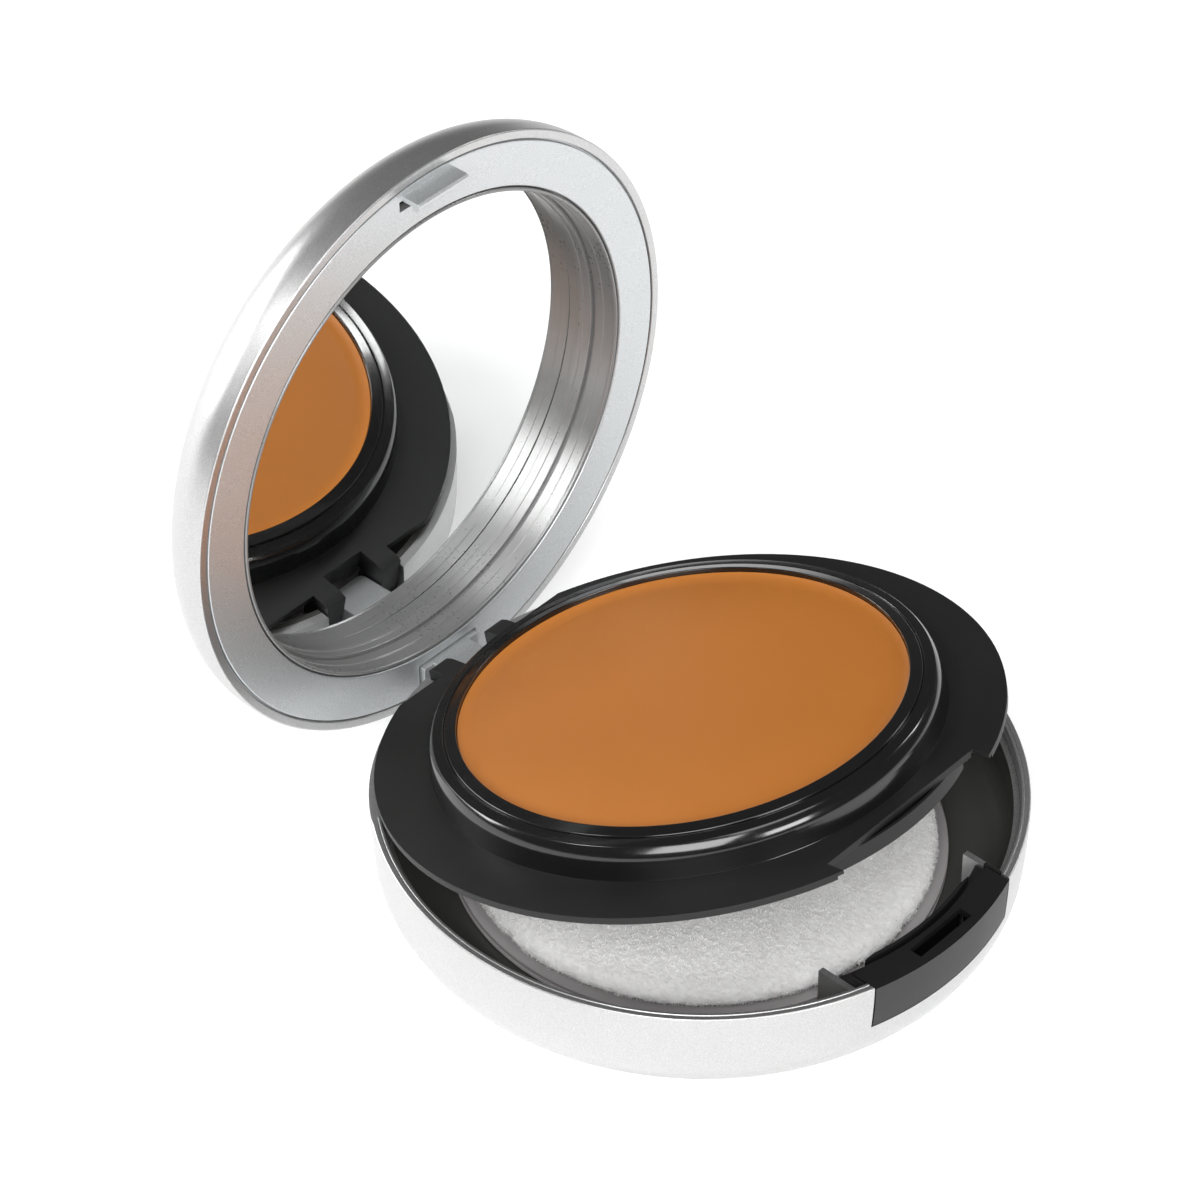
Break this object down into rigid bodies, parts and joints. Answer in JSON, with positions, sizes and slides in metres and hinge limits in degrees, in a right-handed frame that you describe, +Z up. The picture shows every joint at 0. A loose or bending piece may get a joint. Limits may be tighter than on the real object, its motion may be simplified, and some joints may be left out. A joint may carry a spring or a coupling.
{
  "type": "cream powder compact",
  "caption": "Round hinged makeup compact: silver shells, mirror lid, lift-up pan tray over a puff well, front push-button latch.",
  "frame": {"origin": "centre of the base's underside, on the surface that it rests on", "axes": "+Z up, +Y towards the hinge, -Y towards the latch button, +X to the right seen from the latch"},
  "size_m": [0.0802, 0.0934, 0.0841],
  "materials": {
    "silver_lacquer": "satin silver metallic lacquer",
    "silver_frame": "satin silver metallic lacquer",
    "dark_liner": "satin dark olive grey",
    "smoke_bezel": "semi-gloss smoke grey",
    "mirror_glass": "silvered glass",
    "foam_tape": "closed-cell foam tape",
    "black_tray": "fine matte black",
    "black_gloss": "gloss black with a finely textured band",
    "pan_metal": "plain drawn aluminium",
    "cream_makeup": "smooth satin cream",
    "charcoal_button": "matte charcoal",
    "black_housing": "matte black",
    "steel": "plain drawn steel",
    "puff_velour": "white flocked velour",
    "puff_edge": "smooth grey foam backing",
    "blank_label": "blank satin film"
  },
  "bodies": {
    "base": {"base_shell": "silver_lacquer", "base_label": "blank_label", "base_liner": "dark_liner", "hinge_pin": "steel", "latch_housing": "black_housing", "return_spring": "steel", "puff_backing": "puff_edge", "puff_pad": "puff_velour"},
    "button": {"latch_button": "charcoal_button"},
    "tray": {"tray_frame": "black_tray", "pan_ring": "black_gloss", "pan_adhesive": "foam_tape", "pan": "pan_metal", "cream": "cream_makeup"},
    "lid": {"lid_shell": "silver_lacquer", "mirror_frame": "silver_frame", "lid_hinge_arm": "silver_frame", "mirror_bezel": "smoke_bezel", "mirror": "mirror_glass", "mirror_pad": "foam_tape"}
  },
  "joints": [
    {"name": "tray_hinge", "type": "hinge", "parent": "base", "child": "tray", "pos_m": [0, 0.0362, 0.008], "axis": [-1, 0, 0], "range_deg": [-13.67, 24]},
    {"name": "lid_hinge", "type": "hinge", "parent": "tray", "child": "lid", "pos_m": [0, 0.0362, 0.008], "axis": [-1, 0, 0], "range_deg": [-77.61, 0]},
    {"name": "latch_push", "type": "slide", "parent": "base", "child": "button", "axis": [0, 1, 0], "range_m": [0, 0.0006], "stiffness_N_per_m": 600, "springref_m": -0.0008, "deforming": ["return_spring"]}
  ]
}
